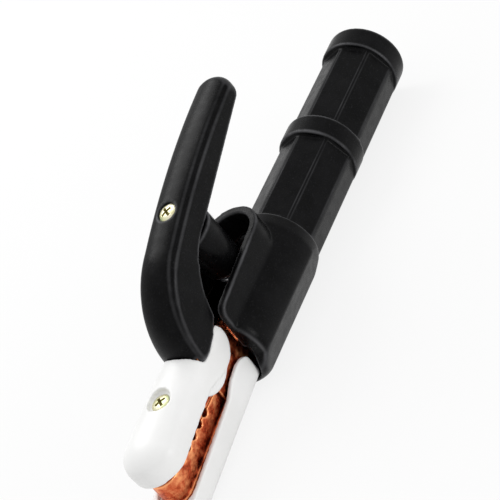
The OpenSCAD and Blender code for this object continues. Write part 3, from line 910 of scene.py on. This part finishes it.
@dataclass
class Studio:
    """Floor, lamps, world and camera of the product shot, in metres, watts and millimetres of lens."""

    floor_z: float = -0.0195
    floor_half: float = 20.0
    floor_grey: float = 0.80
    floor_glow: float = 0.85
    lens: float = 123.6
    sensor: float = 36.0
    near: float = 0.01
    eye: Triple = (0.51439, 0.41429, 0.35914)
    right: Triple = (-0.3562, 0.7738, -0.5238)
    up: Triple = (-0.7297, 0.1199, 0.6732)
    back: Triple = (0.5837, 0.622, 0.5219)
    target: Triple = (0.12, 0.0, 0.02)
    strip_right: float = 0.9
    strip_back: float = 0.35
    strip_size: Range = (0.25, 1.4)
    strip_power: float = 8.4
    overhead_from: Triple = (-0.30, -0.55, 0.75)
    overhead_size: Range = (0.6, 0.6)
    overhead_power: float = 4.6
    world_level: float = 0.78

    def floor_material(self) -> bpy.types.Material:
        """Builds the floor's material, white to the camera and in reflections.

        Returns:
            The material, which keeps a share of plain matt so that shadows show.
        """
        material = bpy.data.materials.new("pale_floor")
        material.use_nodes = True
        tree = material.node_tree
        tree.nodes.remove(tree.nodes["Principled BSDF"])
        matt = tree.nodes.new("ShaderNodeBsdfDiffuse")
        matt.inputs["Color"].default_value = (self.floor_grey, self.floor_grey, self.floor_grey, 1.0)
        glow = tree.nodes.new("ShaderNodeEmission")
        glow.inputs["Color"].default_value = (1.0, 1.0, 1.0, 1.0)
        glow.inputs["Strength"].default_value = 1.0
        path = tree.nodes.new("ShaderNodeLightPath")
        seen = path.outputs["Is Camera Ray"]
        for kind in ("Is Glossy Ray", "Is Transmission Ray"):
            either = tree.nodes.new("ShaderNodeMath")
            either.operation = "MAXIMUM"
            tree.links.new(seen, either.inputs[0])
            tree.links.new(path.outputs[kind], either.inputs[1])
            seen = either.outputs["Value"]
        share = tree.nodes.new("ShaderNodeMath")
        share.operation = "MULTIPLY"
        share.inputs[1].default_value = self.floor_glow
        tree.links.new(seen, share.inputs[0])
        both = tree.nodes.new("ShaderNodeMixShader")
        tree.links.new(share.outputs["Value"], both.inputs["Fac"])
        tree.links.new(matt.outputs["BSDF"], both.inputs[1])
        tree.links.new(glow.outputs["Emission"], both.inputs[2])
        tree.links.new(both.outputs["Shader"], tree.nodes["Material Output"].inputs["Surface"])
        return material

    def floor(self) -> None:
        """Lays a wide pale floor."""
        mesh = bpy.data.meshes.new("floor")
        shape = bmesh.new()
        bmesh.ops.create_grid(shape, x_segments=1, y_segments=1, size=self.floor_half)
        bmesh.ops.translate(shape, verts=shape.verts, vec=(0.0, 0.0, self.floor_z))
        shape.to_mesh(mesh)
        shape.free()
        floor = bpy.data.objects.new("floor", mesh)
        bpy.context.scene.collection.objects.link(floor)
        mesh.materials.append(self.floor_material())

    def lamp(self, name: str, place: Vector, size: Range, power: float) -> None:
        """Hangs a rectangular soft lamp that faces the target.

        Args:
            name: Name of the lamp.
            place: Where it hangs, in metres.
            size: Width and height in metres.
            power: Power in watts.
        """
        data = bpy.data.lights.new(name, "AREA")
        data.shape = "RECTANGLE"
        data.size, data.size_y = size
        data.energy = power
        lamp = bpy.data.objects.new(name, data)
        lamp.location = place
        lamp.rotation_euler = (Vector(self.target) - place).to_track_quat("-Z", "Y").to_euler()
        bpy.context.scene.collection.objects.link(lamp)

    def lights(self) -> None:
        """Hangs the lamps and sets the world."""
        target = Vector(self.target)
        beside = target + Vector(self.right) * self.strip_right + Vector(self.back) * self.strip_back
        self.lamp("strip_right", beside, self.strip_size, self.strip_power)
        above = target + Vector(self.overhead_from)
        self.lamp("overhead", above, self.overhead_size, self.overhead_power)
        world = bpy.data.worlds.new("studio")
        bpy.context.scene.world = world
        world.use_nodes = True
        sky = world.node_tree.nodes["Background"]
        sky.inputs["Color"].default_value = (1.0, 1.0, 1.0, 1.0)
        sky.inputs["Strength"].default_value = self.world_level

    def camera(self) -> None:
        """Sets the camera at the photograph's place and angle."""
        data = bpy.data.cameras.new("photo_view")
        data.lens = self.lens
        data.sensor_width = self.sensor
        data.clip_start = self.near
        camera = bpy.data.objects.new("photo_view", data)
        turn = Matrix((self.right, self.up, self.back)).transposed()
        camera.matrix_world = Matrix.Translation(self.eye) @ turn.to_4x4()
        bpy.context.scene.collection.objects.link(camera)
        bpy.context.scene.camera = camera

    def build(self) -> None:
        """Sets up the whole studio."""
        self.floor()
        self.lights()
        self.camera()
        bpy.context.scene.view_settings.view_transform = "Standard"


def main() -> None:
    """Builds the holder and its studio."""
    logging.basicConfig(level=logging.INFO, format="%(name)s %(message)s")
    finishes = Finishes()
    FixedHalf().build(finishes)
    MovingHalf().build(finishes)
    Studio().build()


if __name__ == "__main__":
    main()
